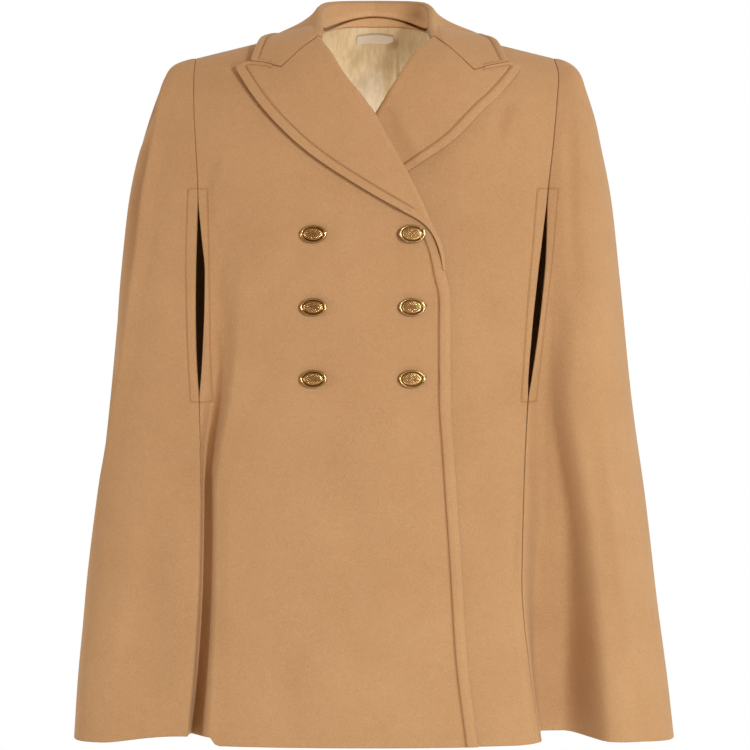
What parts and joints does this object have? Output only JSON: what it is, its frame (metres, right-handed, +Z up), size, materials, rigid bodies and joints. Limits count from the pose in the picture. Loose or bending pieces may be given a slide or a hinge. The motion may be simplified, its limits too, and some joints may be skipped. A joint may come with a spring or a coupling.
{
  "type": "cape",
  "caption": "Double-breasted wool cape with peaked lapels, a turned-down collar and arm slits in the front seams, kept open in its worn shape.",
  "frame": {"origin": "the centre of the neck's base, on the centre plane, where the wearer's neck and shoulders hold the cape up", "axes": "+X to the viewer's right, which is the wearer's left; -Y out of the front; +Z up, along the cape's height"},
  "size_m": [0.672, 0.2901, 0.8317],
  "materials": {
    "wool": "dense brushed camel wool, matte",
    "wool_facing": "dense brushed camel wool, matte",
    "lining": "pale gold satin with a soft sheen",
    "label": "plain woven ribbon, blank",
    "button": "antique brass, satin"
  },
  "bodies": {
    "root": {"front_right": "wool", "front_left": "wool", "side_right": "wool", "side_left": "wool", "back": "wool", "lapel_right": "wool_facing", "lapel_left": "wool_facing", "collar": "wool_facing", "neck_facing": "wool_facing", "back_lining": "lining", "label": "label", "button_1": "button", "button_2": "button", "button_3": "button", "button_4": "button", "button_5": "button", "button_6": "button"}
  },
  "joints": []
}
